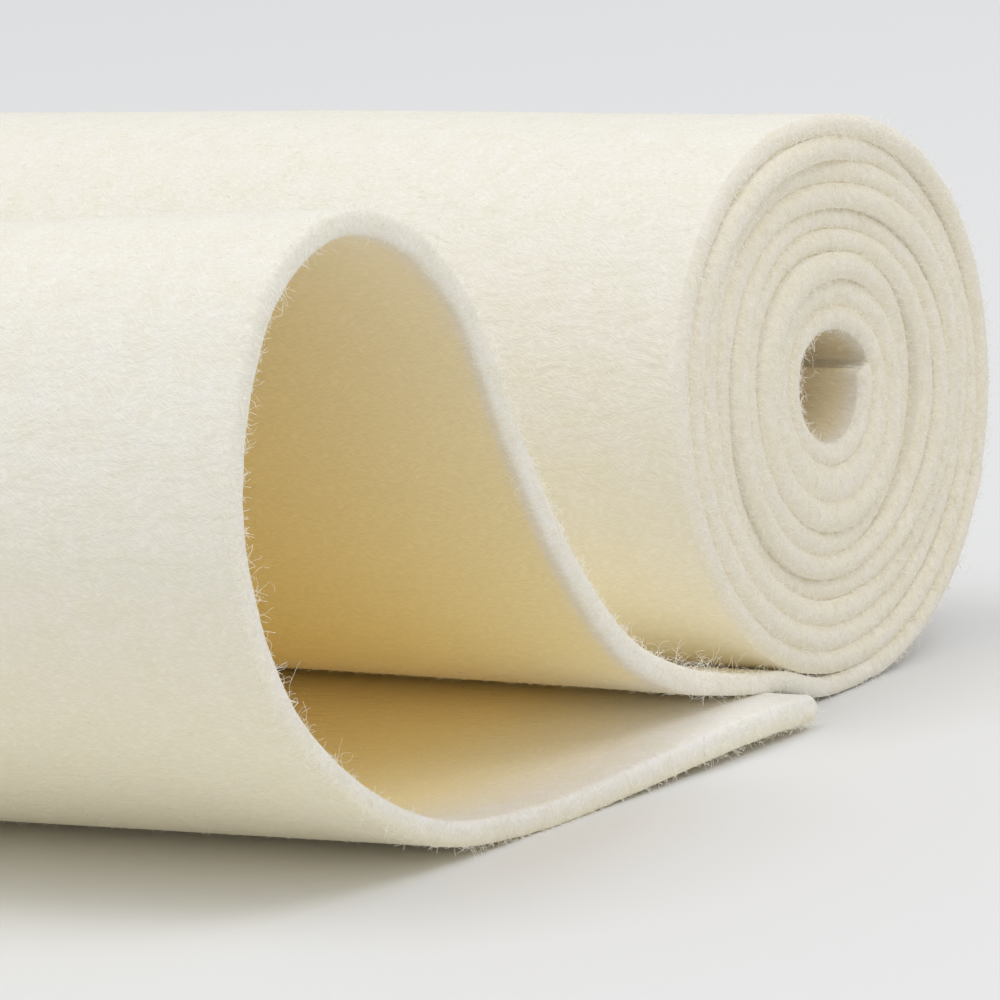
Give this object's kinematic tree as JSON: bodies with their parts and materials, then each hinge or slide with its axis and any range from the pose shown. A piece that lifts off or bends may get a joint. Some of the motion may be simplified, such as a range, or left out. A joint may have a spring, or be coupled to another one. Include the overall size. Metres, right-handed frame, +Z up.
{
  "type": "roll of felt",
  "caption": "Roll of thick cream wool felt, wound on itself with no core, its outer end left loose in a loop that comes down and folds back under the roll.",
  "frame": {"origin": "on the floor under the middle of the whole part", "axes": "+X along the roll's axis towards the end that the picture shows, +Y from the loose loop towards the roll, +Z up"},
  "size_m": [0.203, 0.1684, 0.0755],
  "materials": {
    "felt": "matte felted wool"
  },
  "bodies": {
    "root": {"felt": "felt"}
  },
  "joints": []
}
